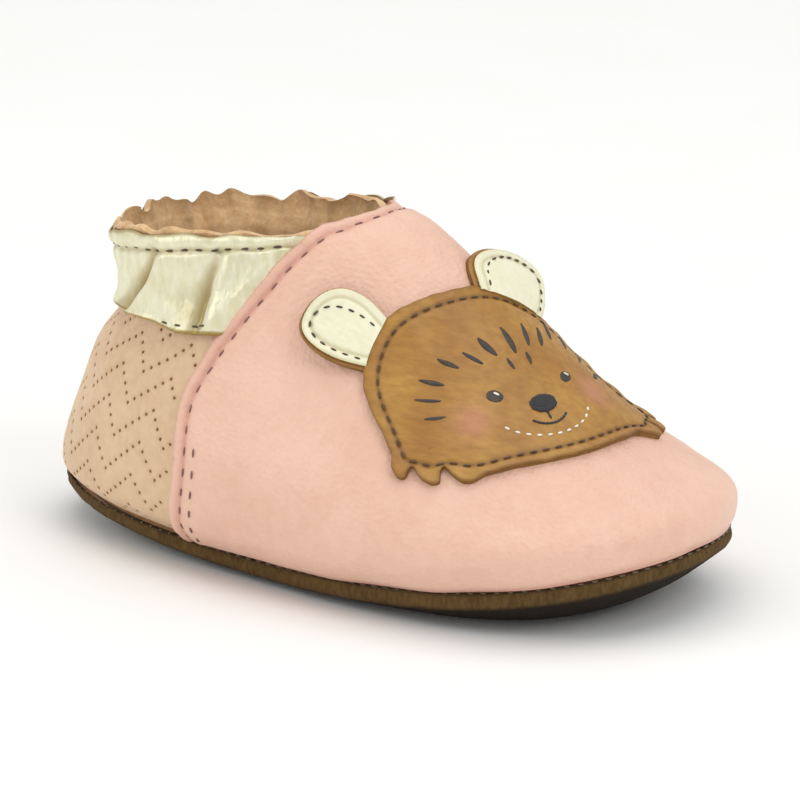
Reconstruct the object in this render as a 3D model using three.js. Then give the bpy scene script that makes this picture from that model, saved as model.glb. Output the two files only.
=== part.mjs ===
// Baby's soft-soled leather slipper, a right shoe, in millimetres.
// +X points to the toe, +Y to the wearer's left, which is the big-toe side, and +Z up.
// The origin is on the floor, under the middle of the shoe's box.
import * as THREE from 'three';

// Length and width of the last, taken over the outside of the upper
const shoeLength = 127.5;
const ballWidth = 63.5;
const toeSwing = 4;

// Height of the seam between upper and sole
const heelSeamHeight = 9;
const sideSeamHeight = 4.8;
const toeSeamHeight = 12.8;

// Height of the top edge
const collarBackHeight = 57.2;
const collarSideHeight = 57.7;
const instepHeight = 61.4;

// Thickness of each layer and the room left between layers
const upperWall = 1.3;
const vampThickness = 1.1;
const bandThickness = 1.1;
const patchThickness = 1;
const earThickness = 0.9;
const soleThickness = 2.4;
const insoleThickness = 1.2;
const layerGap = 0.35;

// Extra room under an overlay whose facets don't line up with those below it
const facetRoom = 0.15;

// The layers lie on either side of the last's outside surface
const upperInset = 0.7;

// Sole
const heelEdgeHeight = 2;
const sideEdgeHeight = 3.2;
const toeEdgeHeight = 2.8;
const soleOverhang = 0.2;
const flatShare = 0.7;
const insoleShare = 0.9;

// Vamp and elastic ankle band, as angles round the last and as shares of the rise
const vampFootRise = 0.004;
const bandTuckAngle = 2;
const bandSideRise = 0.735;
const bandBackRise = 0.635;
const bandTopRise = 1.012;
const gatherCount = 24;
const gatherDepth = 0.9;

// Face-shaped patch, as an angle and a share of the rise
const patchTurn = -14;
const patchBellySag = 0.04;

// Ears, rooted on the patch's outline between two shares of the rise
const earLength = 13.2;
const earBorder = 0.5;
const earRootLow = 0.635;
const earRootHigh = 0.738;
const earFullness = 1.08;

// Facets
const stepsRound = 60;

// Sections of the last from the seam up to the top edge, each at its share of the rise.
// The columns back and front are shares of half the length, and half is a share of half
// the ball width. The columns ball, square and heel make the section fuller towards the
// ball, towards both ends and towards the heel. The columns atBack, atSide and atFront
// are shares of the way from the seam to the top edge.
const sections = [
  { rise: 0, back: -0.985, front: 1, half: 0.775, ball: 0.4, square: 0.2, heel: 0.26 },
  { rise: 0.12, back: -0.985, front: 0.996, half: 0.945, ball: 0.27, square: 0.15, heel: 0.22 },
  { rise: 0.28, back: -0.935, front: 0.9, half: 0.972, ball: 0.15, square: 0.06, heel: 0.17 },
  { rise: 0.48, back: -0.862, front: 0.659, half: 0.867, ball: 0.06, square: 0.03, heel: 0.12 },
  { rise: 0.68, back: -0.773, front: 0.408, half: 0.728, ball: 0.01, square: 0, heel: 0.07 },
  { rise: 0.85, back: -0.759, front: 0.163, half: 0.63, ball: -0.08, square: 0, heel: 0.03 },
  { rise: 1, back: -0.778, front: 0.019, half: 0.58, ball: -0.15, square: 0.03, heel: 0 },
];
const heights = [
  { rise: 0, atBack: 0, atSide: 0, atFront: 0 },
  { rise: 0.12, atBack: 0.079, atSide: 0.117, atFront: 0.115 },
  { rise: 0.28, atBack: 0.288, atSide: 0.284, atFront: 0.202 },
  { rise: 0.48, atBack: 0.52, atSide: 0.473, atFront: 0.389 },
  { rise: 0.68, atBack: 0.693, atSide: 0.66, atFront: 0.679 },
  { rise: 0.85, atBack: 0.832, atSide: 0.832, atFront: 0.955 },
  { rise: 1, atBack: 1, atSide: 1, atFront: 1 },
];

// Rear edge of the vamp: the angle from the toe that it has reached at each rise
const vampEdge = [
  { rise: 0, angle: 114 },
  { rise: 0.3, angle: 111.5 },
  { rise: 0.43, angle: 110.5 },
  { rise: 0.55, angle: 107 },
  { rise: 0.755, angle: 92.5 },
  { rise: 0.8, angle: 85.5 },
  { rise: 0.855, angle: 72 },
  { rise: 0.965, angle: 50 },
  { rise: 1, angle: 38 },
];

// Outline of the patch: half its width, in degrees, from its top edge to its chin
const patchOutline = [
  { rise: 0.745, half: 14 },
  { rise: 0.735, half: 25 },
  { rise: 0.695, half: 35 },
  { rise: 0.66, half: 40 },
  { rise: 0.625, half: 43.5 },
  { rise: 0.585, half: 44.5 },
  { rise: 0.53, half: 44.5 },
  { rise: 0.475, half: 43 },
  { rise: 0.42, half: 43 },
  { rise: 0.405, half: 47 },
  { rise: 0.392, half: 43.5 },
  { rise: 0.374, half: 46 },
  { rise: 0.366, half: 41 },
];

const halfLength = shoeLength / 2;
const halfBall = ballWidth / 2;
const radians = THREE.MathUtils.degToRad;
const lerp = THREE.MathUtils.lerp;

// A smooth curve through one column of a table, straight beyond its ends
function readColumn(table, name, rise) {
  const last = table.length - 1;
  let row = 0;
  while (row < last - 1 && rise > table[row + 1].rise) row += 1;
  const span = (i) => table[i + 1].rise - table[i].rise;
  const chord = (i) => (table[i + 1][name] - table[i][name]) / span(i);
  const slope = (i) => {
    if (i === 0) return chord(0);
    if (i === last) return chord(last - 1);
    return (chord(i - 1) * span(i) + chord(i) * span(i - 1)) / (span(i) + span(i - 1));
  };
  const width = span(row);
  const wanted = (rise - table[row].rise) / width;
  const t = THREE.MathUtils.clamp(wanted, 0, 1);
  const beyond = (wanted - t) * width;
  const value = table[row][name] * (2 * t ** 3 - 3 * t ** 2 + 1)
    + slope(row) * width * (t ** 3 - 2 * t ** 2 + t)
    + table[row + 1][name] * (3 * t ** 2 - 2 * t ** 3)
    + slope(row + 1) * width * (t ** 3 - t ** 2);
  return value + beyond * slope(beyond > 0 ? row + 1 : row);
}

// A value that is named at the heel, the sides and the toe, at an angle from the toe
function roundTheShoe(atBack, atSide, atFront, angle) {
  const ends = (atFront + atBack) / 2;
  return (ends + atSide) / 2
    + (atFront - atBack) / 2 * Math.cos(angle)
    + (ends - atSide) / 2 * Math.cos(2 * angle);
}

// The outside of the last, at an angle from the toe and a share of the rise
function lastPoint(angle, rise) {
  const column = (name) => readColumn(sections, name, rise);
  const height = (name, low, high) => lerp(low, high, readColumn(heights, name, rise));
  const back = column('back') * halfLength;
  const front = column('front') * halfLength;
  const x = (front + back) / 2 + (front - back) / 2 * Math.cos(angle);
  const fullness = 1
    + column('square') * (1 + Math.cos(2 * angle))
    + column('ball') * Math.cos(angle)
    + column('heel') * ((1 - Math.cos(angle)) / 2) ** 3;
  const swing = x > 0 ? toeSwing * (x / halfLength) ** 2 : 0;
  const y = halfBall * column('half') * Math.sin(angle) * fullness + swing;
  const z = roundTheShoe(
    height('atBack', heelSeamHeight, collarBackHeight),
    height('atSide', sideSeamHeight, collarSideHeight),
    height('atFront', toeSeamHeight, instepHeight),
    angle,
  );
  return new THREE.Vector3(x, y, z);
}

// A point that stands off the last along its normal
function shellPoint(angle, rise, offset) {
  const step = 0.001;
  const round = lastPoint(angle + step, rise).sub(lastPoint(angle - step, rise));
  const up = lastPoint(angle, rise + step).sub(lastPoint(angle, rise - step));
  const normal = round.cross(up).normalize();
  return lastPoint(angle, rise).addScaledVector(normal, offset);
}

// A point of the sole, at a share of the way from its middle to the seam
function solePoint(angle, share, height, overhang) {
  const seam = lastPoint(angle, 0);
  const outwards = new THREE.Vector3(seam.x, seam.y, 0).normalize();
  const point = new THREE.Vector3(seam.x * share, seam.y * share, height);
  return point.addScaledVector(outwards, overhang);
}

function spread(count, from, to) {
  return Array.from({ length: count }, (_, i) => lerp(from, to, i / (count - 1)));
}

// Body from points and triangles
function bodyFrom(points, triangles) {
  const geometry = new THREE.BufferGeometry();
  geometry.setAttribute('position', new THREE.Float32BufferAttribute(points.flatMap((p) => p.toArray()), 3));
  geometry.setIndex(triangles);
  geometry.computeVertexNormals();
  return geometry;
}

// Closed body from rings of points: the first and the last ring are joined to each
// other, or each of them is closed by a pole.
function ringBody(makePoint, rows, poles) {
  const points = [];
  const triangles = [];
  for (const row of rows) {
    for (let i = 0; i < stepsRound; i += 1) {
      points.push(makePoint(2 * Math.PI * i / stepsRound, row));
    }
  }
  const bandCount = poles ? rows.length - 1 : rows.length;
  for (let band = 0; band < bandCount; band += 1) {
    const low = band * stepsRound;
    const high = (band + 1) % rows.length * stepsRound;
    for (let i = 0; i < stepsRound; i += 1) {
      const next = (i + 1) % stepsRound;
      triangles.push(low + i, low + next, high + next, low + i, high + next, high + i);
    }
  }
  if (poles) {
    const bottom = points.push(poles.bottom) - 1;
    const top = points.push(poles.top) - 1;
    const lastRow = (rows.length - 1) * stepsRound;
    for (let i = 0; i < stepsRound; i += 1) {
      const next = (i + 1) % stepsRound;
      triangles.push(bottom, next, i);
      triangles.push(top, lastRow + i, lastRow + next);
    }
  }
  return bodyFrom(points, triangles);
}

// Closed sheet with a face, a back and an edge all round. makePoint gives the point at
// an across and an along step, for the back with side 0 and for the face with side 1.
function sheetBody(makePoint, across, along) {
  const points = [];
  const triangles = [];
  const width = across.length;
  const layer = width * along.length;
  for (const side of [0, 1]) {
    for (const b of along) {
      for (const a of across) points.push(makePoint(a, b, side));
    }
  }
  const quad = (p, q, r, s) => triangles.push(p, q, r, p, r, s);
  for (let j = 0; j < along.length - 1; j += 1) {
    for (let i = 0; i < width - 1; i += 1) {
      const corner = j * width + i;
      quad(layer + corner, layer + corner + 1, layer + corner + width + 1, layer + corner + width);
      quad(corner, corner + width, corner + width + 1, corner + 1);
    }
  }
  const border = [];
  for (let i = 0; i < width - 1; i += 1) border.push(i);
  for (let j = 0; j < along.length - 1; j += 1) border.push(j * width + width - 1);
  for (let i = width - 1; i > 0; i -= 1) border.push((along.length - 1) * width + i);
  for (let j = along.length - 1; j > 0; j -= 1) border.push(j * width);
  border.forEach((here, i) => {
    const next = border[(i + 1) % border.length];
    quad(here, next, layer + next, layer + here);
  });
  return bodyFrom(points, triangles);
}

// Sole: flat in the middle, with its rim curling up to the seam
function curl(share) {
  return Math.max(0, (share - flatShare) / (1 - flatShare)) ** 1.8;
}

function soleUnderside(angle, share) {
  const rim = roundTheShoe(
    heelSeamHeight - heelEdgeHeight,
    sideSeamHeight - sideEdgeHeight,
    toeSeamHeight - toeEdgeHeight,
    angle,
  );
  return rim * curl(share);
}

function soleTopside(angle, share) {
  const edge = roundTheShoe(heelEdgeHeight, sideEdgeHeight, toeEdgeHeight, angle) - layerGap;
  return soleUnderside(angle, share) + lerp(soleThickness, edge, curl(share));
}

const rimShares = [flatShare, 0.79, 0.87, 0.94, 1];

function makeOutsole() {
  const rows = [
    ...rimShares.map((share) => ({ share, side: soleUnderside })),
    ...rimShares.toReversed().map((share) => ({ share, side: soleTopside })),
  ];
  const point = (angle, { share, side }) => {
    const overhang = share === 1 ? soleOverhang : 0;
    return solePoint(angle, share, side(angle, share), overhang);
  };
  return ringBody(point, rows, {
    bottom: new THREE.Vector3(0, 0, 0),
    top: new THREE.Vector3(0, 0, soleThickness),
  });
}

function makeInsole() {
  const shares = [flatShare, lerp(flatShare, insoleShare, 0.5), insoleShare];
  const rows = [
    ...shares.map((share) => ({ share, lift: layerGap })),
    ...shares.toReversed().map((share) => ({ share, lift: layerGap + insoleThickness })),
  ];
  const point = (angle, { share, lift }) => solePoint(angle, share, soleTopside(angle, share) + lift, 0);
  return ringBody(point, rows, {
    bottom: new THREE.Vector3(0, 0, soleThickness + layerGap),
    top: new THREE.Vector3(0, 0, soleThickness + layerGap + insoleThickness),
  });
}

// Upper: one wall from the seam to the top edge, open above and below
const upperRises = [0, 0.05, 0.12, 0.2, 0.28, 0.38, 0.48, 0.58, 0.68, 0.77, 0.85, 0.91, 0.96, 1];

function makeUpper() {
  const rows = [
    ...upperRises.map((rise) => ({ rise, offset: -upperInset })),
    ...upperRises.toReversed().map((rise) => ({ rise, offset: -upperInset - upperWall })),
  ];
  return ringBody((angle, { rise, offset }) => shellPoint(angle, rise, offset), rows);
}

// Overlays lie outside the upper, one gap away
const overlayFoot = layerGap - upperInset;

function makeVamp() {
  const point = (turn, rise, side) => {
    const angle = radians(turn * readColumn(vampEdge, 'angle', rise));
    return shellPoint(angle, rise, overlayFoot + side * vampThickness);
  };
  const rises = [vampFootRise, ...upperRises.slice(1)];
  return sheetBody(point, spread(41, -1, 1), rises);
}

const bandFoot = overlayFoot + facetRoom;

function makeAnkleBand() {
  const point = (turn, share, side) => {
    const lowest = lerp(bandBackRise, bandSideRise, Math.abs(turn) ** 1.5);
    const rise = lerp(lowest, bandTopRise, share);
    const start = readColumn(vampEdge, 'angle', rise) + bandTuckAngle;
    const angle = radians(180 + turn * (180 - start));
    const gather = gatherDepth * (0.5 - 0.5 * Math.cos(gatherCount * angle));
    return shellPoint(angle, rise, bandFoot + side * (bandThickness + gather));
  };
  return sheetBody(point, spread(61, -1, 1), spread(7, 0, 1));
}

// Patch: its chin sags less in the middle, so the tufts of its cheeks hang lowest
const patchFoot = overlayFoot + vampThickness + layerGap + facetRoom;
const patchTop = patchOutline[0].rise;
const patchChin = patchOutline.at(-1).rise;

function makePatch() {
  const point = (turn, row, side) => {
    const sag = patchBellySag * (1 - turn ** 2) * (patchTop - row.rise) / (patchTop - patchChin);
    const angle = radians(patchTurn + turn * row.half);
    return shellPoint(angle, row.rise + sag, patchFoot + side * patchThickness);
  };
  return sheetBody(point, spread(15, -1, 1), patchOutline.toReversed());
}

// Ear: a straight flap that is rooted a gap beyond the patch's outline. It stands up from
// the last by one angle and leans along its root by another. The facing lies on the
// backing and is smaller by the border that shows round it.
function earPoint(ear, border, rest) {
  const outline = patchOutline.toReversed();
  const rootAngle = (rise) => radians(patchTurn + ear.mirror * readColumn(outline, 'half', rise));
  const rootPoint = (rise, offset) => shellPoint(rootAngle(rise), rise, offset);
  const normalAt = (rise) => rootPoint(rise, 1).sub(rootPoint(rise, 0));
  const normal = normalAt((earRootLow + earRootHigh) / 2);
  const root = rootPoint(earRootHigh, 0).sub(rootPoint(earRootLow, 0));
  const halfWidth = root.length() / 2;
  const uphill = root.addScaledVector(normal, -root.dot(normal)).normalize();
  const outwards = uphill.clone().cross(normal).multiplyScalar(ear.mirror);
  const lean = radians(ear.lean);
  const stand = radians(ear.stand);
  const heading = outwards.multiplyScalar(Math.cos(lean)).addScaledVector(uphill, Math.sin(lean));
  const earGap = (layerGap + 2 * facetRoom) / Math.cos(lean);
  const reach = heading.clone().multiplyScalar(Math.cos(stand)).addScaledVector(normal, Math.sin(stand));
  return (across, along, side) => {
    const swell = 1 + (earFullness - 1) * Math.sin(Math.PI * along);
    const tip = earFullness * Math.sqrt(Math.max(0, 1 - (2 * along - 1) ** 2));
    const width = across * (along < 0.5 ? swell : tip) * (1 - border / halfWidth);
    const rise = lerp(earRootLow, earRootHigh, 0.5 + 0.5 * width);
    const faceNormal = normalAt(rise)
      .multiplyScalar(Math.cos(stand))
      .addScaledVector(heading, -Math.sin(stand));
    return rootPoint(rise, patchFoot)
      .addScaledVector(reach, earGap + along * (earLength - border))
      .addScaledVector(faceNormal, rest + side * earThickness);
  };
}

function makeEar(ear, border, rest) {
  const along = [0, 0.25, 0.5, 0.68, 0.83, 0.94, 1];
  return sheetBody(earPoint(ear, border, rest), spread(9, ear.mirror, -ear.mirror), along);
}

// Colours and finishes, as seen
const finishes = {
  suede: { color: '#6d5540', roughness: 0.95, metalness: 0 },
  lining: { color: '#bd9468', roughness: 0.9, metalness: 0 },
  heelLeather: { color: '#dcbc96', roughness: 0.6, metalness: 0 },
  pinkLeather: { color: '#f0c4b0', roughness: 0.5, metalness: 0 },
  goldLeather: { color: '#e1dcbe', roughness: 0.35, metalness: 0.5 },
  tanLeather: { color: '#b98c4b', roughness: 0.55, metalness: 0 },
};

function makeMesh(name, geometry, finish) {
  const mesh = new THREE.Mesh(geometry, new THREE.MeshStandardMaterial(finishes[finish]));
  mesh.name = name;
  return mesh;
}

const slipper = new THREE.Group();
slipper.add(
  makeMesh('outsole', makeOutsole(), 'suede'),
  makeMesh('insole', makeInsole(), 'lining'),
  makeMesh('upper', makeUpper(), 'heelLeather'),
  makeMesh('vamp', makeVamp(), 'pinkLeather'),
  makeMesh('ankle_band', makeAnkleBand(), 'goldLeather'),
  makeMesh('head_patch', makePatch(), 'tanLeather'),
);

// The right ear lies along the last, and the left ear stands up from the ridge
const ears = [
  { side: 'right', mirror: -1, stand: 3, lean: 6 },
  { side: 'left', mirror: 1, stand: 20, lean: -16 },
];
for (const ear of ears) {
  slipper.add(
    makeMesh(`ear_backing_${ear.side}`, makeEar(ear, 0, 0), 'tanLeather'),
    makeMesh(`ear_facing_${ear.side}`, makeEar(ear, earBorder, earThickness + layerGap), 'goldLeather'),
  );
}

// Stand the shoe on the floor with its box centred over the origin
const box = new THREE.Box3().setFromObject(slipper, true);
slipper.position.set(-(box.min.x + box.max.x) / 2, -(box.min.y + box.max.y) / 2, -box.min.z);

export default slipper;
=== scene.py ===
import math

import bpy
import numpy as np
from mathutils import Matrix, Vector


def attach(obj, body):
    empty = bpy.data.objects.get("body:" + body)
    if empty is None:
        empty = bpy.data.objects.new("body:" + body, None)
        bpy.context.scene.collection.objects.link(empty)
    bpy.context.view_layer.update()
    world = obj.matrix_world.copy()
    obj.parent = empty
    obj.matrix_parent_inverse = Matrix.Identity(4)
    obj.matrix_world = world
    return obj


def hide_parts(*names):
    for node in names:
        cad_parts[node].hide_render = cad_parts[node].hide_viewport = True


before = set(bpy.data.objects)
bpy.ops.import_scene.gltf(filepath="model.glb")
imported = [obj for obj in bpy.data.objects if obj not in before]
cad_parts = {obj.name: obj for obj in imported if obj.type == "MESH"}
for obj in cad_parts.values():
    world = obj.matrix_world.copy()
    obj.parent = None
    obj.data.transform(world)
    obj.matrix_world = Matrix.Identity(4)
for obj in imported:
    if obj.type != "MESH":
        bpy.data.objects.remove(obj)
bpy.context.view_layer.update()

# Lengths below are in millimetres and become metres when a mesh is made
MM = 0.001

# The last, as in the part: its length and width over the outside of the upper
SHOE_LENGTH = 127.5
BALL_WIDTH = 63.5
TOE_SWING = 4.0
SEAM_HEIGHT = {"back": 9.0, "side": 4.8, "front": 12.8}
TOP_HEIGHT = {"back": 57.2, "side": 57.7, "front": 61.4}

# Sections of the last, each at its share of the rise from the seam to the top edge
SECTION_COLUMNS = ("back", "front", "half", "ball", "square", "heel", "at_back", "at_side", "at_front")
SECTIONS = {
    0.00: (-0.985, 1.000, 0.775, 0.40, 0.20, 0.26, 0.000, 0.000, 0.000),
    0.12: (-0.985, 0.996, 0.945, 0.27, 0.15, 0.22, 0.079, 0.117, 0.115),
    0.28: (-0.935, 0.900, 0.972, 0.15, 0.06, 0.17, 0.288, 0.284, 0.202),
    0.48: (-0.862, 0.659, 0.867, 0.06, 0.03, 0.12, 0.520, 0.473, 0.389),
    0.68: (-0.773, 0.408, 0.728, 0.01, 0.00, 0.07, 0.693, 0.660, 0.679),
    0.85: (-0.759, 0.163, 0.630, -0.08, 0.00, 0.03, 0.832, 0.832, 0.955),
    1.00: (-0.778, 0.019, 0.580, -0.15, 0.03, 0.00, 1.000, 1.000, 1.000),
}

# Rear edge of the vamp: the angle from the toe that it has reached at each rise
VAMP_EDGE = {
    0.0: (112.7,), 0.2: (110.6,), 0.3: (109.4,), 0.43: (108.8,), 0.55: (106.6,), 0.65: (102.2,),
    0.755: (94.6,), 0.8: (85.5,), 0.855: (72.0,), 0.965: (50.0,), 1.0: (38.0,),
}

# Middle of the head patch, in degrees from the toe
PATCH_TURN = -14.0

# Layers, as offsets from the last: the skins lie on the upper's wall
UPPER_FACE = -0.7
UPPER_BACK = -2.0
VAMP_BACK = -0.35
VAMP_THICK = 1.1
BAND_BACK = -0.3
BAND_THICK = 1.0
PATCH_BACK = 0.8
PATCH_THICK = 1.15
LAYER_FOOT = 0.004

# Rough length of a radian round the last and of the whole rise, by piece, for noise and creases
VAMP_SPANS = (30, 55)
HEEL_SPANS = (24, 52)
PATCH_SPANS = (24, 60)
LINING_SPANS = (26, 50)
COLLAR_TALL = 50
BAND_TALL = 15

# Sewing
STITCH_PITCH = 3.6
STITCH_LONG = 1.6
THREAD_THICK = 0.42
EDGE_TO_STITCH = 2.3


# Surface of the last

def read_columns(table, share):
    """A smooth curve through each column of a table, straight beyond its ends."""
    keys = np.array(sorted(table))
    rows = np.array([table[key] for key in sorted(table)], float)
    gaps = np.diff(keys)
    chords = np.diff(rows, axis=0) / gaps[:, None]
    slopes = np.vstack([chords[:1], np.zeros((len(keys) - 2, rows.shape[1])), chords[-1:]])
    weights = gaps[:, None]
    slopes[1:-1] = (chords[:-1] * weights[:-1] + chords[1:] * weights[1:]) / (weights[:-1] + weights[1:])
    share = np.asarray(share, float)
    row = np.clip(np.searchsorted(keys, share) - 1, 0, len(keys) - 2)
    width = gaps[row][..., None]
    wanted = ((share - keys[row]) / gaps[row])[..., None]
    t = clamp(wanted)
    value = rows[row] * (2 * t**3 - 3 * t**2 + 1) + slopes[row] * width * (t**3 - 2 * t**2 + t)
    value += rows[row + 1] * (3 * t**2 - 2 * t**3) + slopes[row + 1] * width * (t**3 - t**2)
    beyond = (wanted - t) * width
    return value + beyond * np.where(beyond > 0, slopes[row + 1], slopes[row])


def mix(low, high, share):
    return low + (high - low) * share


def clamp(value):
    return np.clip(value, 0, 1)


def round_the_shoe(at_back, at_side, at_front, angle):
    """A value that is named at the heel, the sides and the toe."""
    ends = (at_front + at_back) / 2
    level = (ends + at_side) / 2 + (ends - at_side) / 2 * np.cos(2 * angle)
    return level + (at_front - at_back) / 2 * np.cos(angle)


def last_point(angle, rise):
    """The outside of the last, at an angle in radians from the toe and a share of the rise."""
    angle, rise = np.broadcast_arrays(np.asarray(angle, float), np.asarray(rise, float))
    table = read_columns(SECTIONS, rise)
    column = {name: table[..., i] for i, name in enumerate(SECTION_COLUMNS)}
    back = column["back"] * SHOE_LENGTH / 2
    front = column["front"] * SHOE_LENGTH / 2
    x = (front + back) / 2 + (front - back) / 2 * np.cos(angle)
    full = 1 + column["square"] * (1 + np.cos(2 * angle)) + column["ball"] * np.cos(angle)
    full = full + column["heel"] * ((1 - np.cos(angle)) / 2) ** 3
    y = BALL_WIDTH / 2 * column["half"] * np.sin(angle) * full
    y = y + TOE_SWING * np.where(x > 0, (x / (SHOE_LENGTH / 2)) ** 2, 0)
    z = round_the_shoe(
        mix(SEAM_HEIGHT["back"], TOP_HEIGHT["back"], column["at_back"]),
        mix(SEAM_HEIGHT["side"], TOP_HEIGHT["side"], column["at_side"]),
        mix(SEAM_HEIGHT["front"], TOP_HEIGHT["front"], column["at_front"]),
        angle,
    )
    return np.stack([x, y, z], -1)


def unit(vectors):
    return vectors / np.maximum(np.linalg.norm(vectors, axis=-1, keepdims=True), 1e-9)


def surface_steps(angle, rise):
    """How far the surface moves for a radian round it and for the whole rise."""
    small = 0.001
    round_it = (last_point(angle + small, rise) - last_point(angle - small, rise)) / (2 * small)
    up_it = (last_point(angle, rise + small) - last_point(angle, rise - small)) / (2 * small)
    return round_it, up_it


def surface_normal(angle, rise):
    return unit(np.cross(*surface_steps(np.asarray(angle, float), np.asarray(rise, float))))


def shell_point(angle, rise, offset=0.0):
    """A point that stands off the last along its normal."""
    return last_point(angle, rise) + surface_normal(angle, rise) * np.asarray(offset, float)[..., None]


def walk(angle, rise, sideways, upwards):
    """The place that lies so many millimetres round and up the surface from another."""
    round_it, up_it = surface_steps(angle, rise)
    right = unit(round_it)
    up = unit(np.cross(unit(np.cross(round_it, up_it)), right))
    lean = (up_it * right).sum(-1)
    climb = (up_it * up).sum(-1)
    rise_step = upwards / climb
    angle_step = (sideways - rise_step * lean) / np.linalg.norm(round_it, axis=-1)
    return angle + angle_step, rise + rise_step


def on_surface(across, up, middle, strides=6):
    """Angle and rise of a place in millimetres: first up from a middle, then across."""
    across, up = np.broadcast_arrays(np.asarray(across, float), np.asarray(up, float))
    angle = np.full(across.shape, math.radians(middle[0]))
    rise = np.full(across.shape, middle[1])
    for _ in range(strides):
        angle, rise = walk(angle, rise, 0 * across, up / strides)
    for _ in range(strides):
        angle, rise = walk(angle, rise, across / strides, 0 * up)
    return angle, rise


def inset(angle, rise, distance, closed=False):
    """The path that runs to the left of another at a distance, over the surface."""
    points = last_point(angle, rise)
    if closed:
        forward = np.roll(points, -1, axis=0) - np.roll(points, 1, axis=0)
    else:
        forward = np.gradient(points, axis=0)
    round_it, up_it = surface_steps(angle, rise)
    normal = unit(np.cross(round_it, up_it))
    left = unit(np.cross(normal, unit(forward))) * distance
    right = unit(round_it)
    up = unit(np.cross(normal, right))
    return walk(angle, rise, (left * right).sum(-1), (left * up).sum(-1))


def run_along(points):
    """How far along a path each of its points lies."""
    return np.concatenate([[0], np.cumsum(np.linalg.norm(np.diff(points, axis=0), axis=1))])


def resample(angle, rise, pitch, offset):
    """Places at an even pitch along a path, with points, tangents and normals."""
    run = run_along(shell_point(angle, rise, offset))
    count = max(2, int(run[-1] / pitch))
    places = (np.arange(count) + 0.5) * run[-1] / count

    def at(where):
        return np.interp(where, run, angle), np.interp(where, run, rise)

    tangents = unit(shell_point(*at(places + 0.2), offset) - shell_point(*at(places - 0.2), offset))
    return shell_point(*at(places), offset), tangents, surface_normal(*at(places))


def spaced(points, normals, pitch):
    """Places at an even pitch along points that are already set in space."""
    run = run_along(points)
    count = int(run[-1] / pitch)
    places = (np.arange(count) + 0.5) * run[-1] / count

    def at(where, values):
        return np.stack([np.interp(where, run, values[:, k]) for k in range(3)], -1)

    tangents = unit(at(places + 0.3, points) - at(places - 0.3, points))
    return at(places, points), tangents, unit(at(places, normals))


def nearest(points, path):
    """Distance of each point of a grid to the closest point of a path, worked out in parts."""
    flat = points.reshape(-1, 3)
    parts = np.array_split(flat, len(flat) // 4000 + 1)
    away = [np.sqrt(((part[:, None] - path[None]) ** 2).sum(-1).min(1)) for part in parts]
    return np.concatenate(away).reshape(points.shape[:-1])


def bump(distance, width):
    return np.exp(-((distance / width) ** 2))


def rounded_edge(distance, radius):
    """How far a cut edge is rounded off, at a distance in from it."""
    inward = clamp(distance / radius)
    return radius * (1 - np.sqrt(np.maximum(0, 1 - (1 - inward) ** 2)))


def smooth_noise(x, y, seed, scale):
    """Soft rolling noise over two coordinates in millimetres, the same on each run."""
    draw = np.random.default_rng(seed)
    total = np.zeros(np.broadcast(x, y).shape)
    for octave in range(1, 4):
        for _ in range(4):
            heading = draw.uniform(0, 2 * math.pi)
            length = scale / octave * draw.uniform(0.7, 1.4)
            phase = draw.uniform(0, 2 * math.pi)
            wave = 2 * math.pi * (x * math.cos(heading) + y * math.sin(heading)) / length
            total += np.sin(wave + phase) / octave
    return total / 4


def rolling(angle, rise, spans, seed, scale):
    """Smooth noise over a piece, by angle and rise."""
    return smooth_noise(angle * spans[0], rise * spans[1], seed, scale)


# Colours and materials

def colour(code):
    """Linear colour from an sRGB hex code."""
    parts = [int(code[i:i + 2], 16) / 255 for i in (1, 3, 5)]
    linear = [c / 12.92 if c <= 0.04045 else ((c + 0.055) / 1.055) ** 2.4 for c in parts]
    return (*linear, 1.0)


def add(tree, kind, inputs=None, stops=(), **settings):
    """Adds a node with its settings and colour stops, and sets or links its inputs."""
    made = tree.nodes.new(kind)
    for name, value in settings.items():
        setattr(made, name, value)
    for name, value in (inputs or {}).items():
        socket = made.inputs[name]
        if isinstance(value, bpy.types.NodeSocket):
            tree.links.new(value, socket)
        elif isinstance(value, str) and value.startswith("#"):
            socket.default_value = colour(value)
        else:
            socket.default_value = value
    for index, (place, code) in enumerate(stops):
        made.color_ramp.elements[index].position = place
        made.color_ramp.elements[index].color = colour(code)
    return made


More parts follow.
